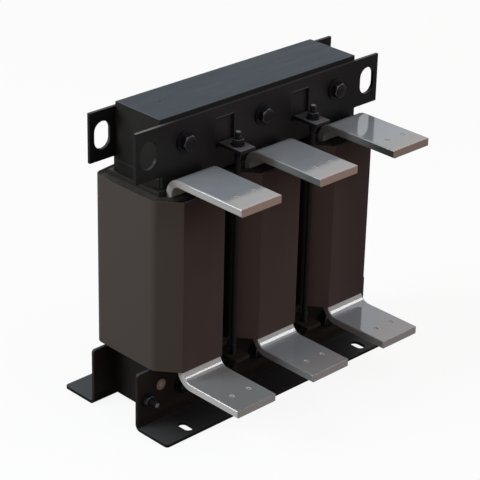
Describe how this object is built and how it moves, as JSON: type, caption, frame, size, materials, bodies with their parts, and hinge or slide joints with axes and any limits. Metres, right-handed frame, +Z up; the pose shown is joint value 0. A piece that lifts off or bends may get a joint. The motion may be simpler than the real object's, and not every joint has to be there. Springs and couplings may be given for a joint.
{
  "type": "motor choke",
  "caption": "Motor choke: wrapped coils on a laminated core, clamped by folded sheets with slotted ears and feet, and bent bar terminals above and below.",
  "frame": {"origin": "on the floor, midway between the four foot slots", "axes": "+X along the core from the earth screw's end, -Y towards the bar terminals, +Z up"},
  "size_m": [0.2998, 0.1993, 0.294],
  "materials": {
    "core_steel": "stacked electrical sheet, varnished dark blue-grey",
    "black_sheet": "folded sheet steel, satin black coating",
    "dark_fastener": "blackened steel, slightly shiny on the edges",
    "bright_fastener": "plated steel screw",
    "laminate": "dark brown varnished insulating laminate",
    "winding_end": "edges of foil and insulation under dark varnish",
    "coil_wrap": "dark brown-black impregnated wrap",
    "bar_metal": "plain flat bar with a soft sheen"
  },
  "bodies": {
    "root": {"lower_yoke": "core_steel", "upper_yoke": "core_steel", "upper_front_clamp": "black_sheet", "upper_back_clamp": "black_sheet", "front_foot": "black_sheet", "back_foot": "black_sheet", "yoke_bolts": "dark_fastener", "yoke_bolt_washers": "dark_fastener", "yoke_bolt_nuts": "dark_fastener", "yoke_bolt_sleeves": "laminate", "tie_rods": "dark_fastener", "tie_rod_washers": "dark_fastener", "tie_rod_nuts": "dark_fastener", "earth_screw": "bright_fastener", "earth_washer": "dark_fastener", "earth_nut": "dark_fastener", "limb_left": "core_steel", "lower_gap_pad_left": "laminate", "upper_gap_pad_left": "laminate", "former_left": "laminate", "packing_strips_left": "laminate", "winding_left": "winding_end", "outer_wrap_left": "coil_wrap", "start_lead_left": "bar_metal", "finish_lead_left": "bar_metal", "limb_centre": "core_steel", "lower_gap_pad_centre": "laminate", "upper_gap_pad_centre": "laminate", "former_centre": "laminate", "packing_strips_centre": "laminate", "winding_centre": "winding_end", "outer_wrap_centre": "coil_wrap", "start_lead_centre": "bar_metal", "finish_lead_centre": "bar_metal", "limb_right": "core_steel", "lower_gap_pad_right": "laminate", "upper_gap_pad_right": "laminate", "former_right": "laminate", "packing_strips_right": "laminate", "winding_right": "winding_end", "outer_wrap_right": "coil_wrap", "start_lead_right": "bar_metal", "finish_lead_right": "bar_metal"}
  },
  "joints": []
}
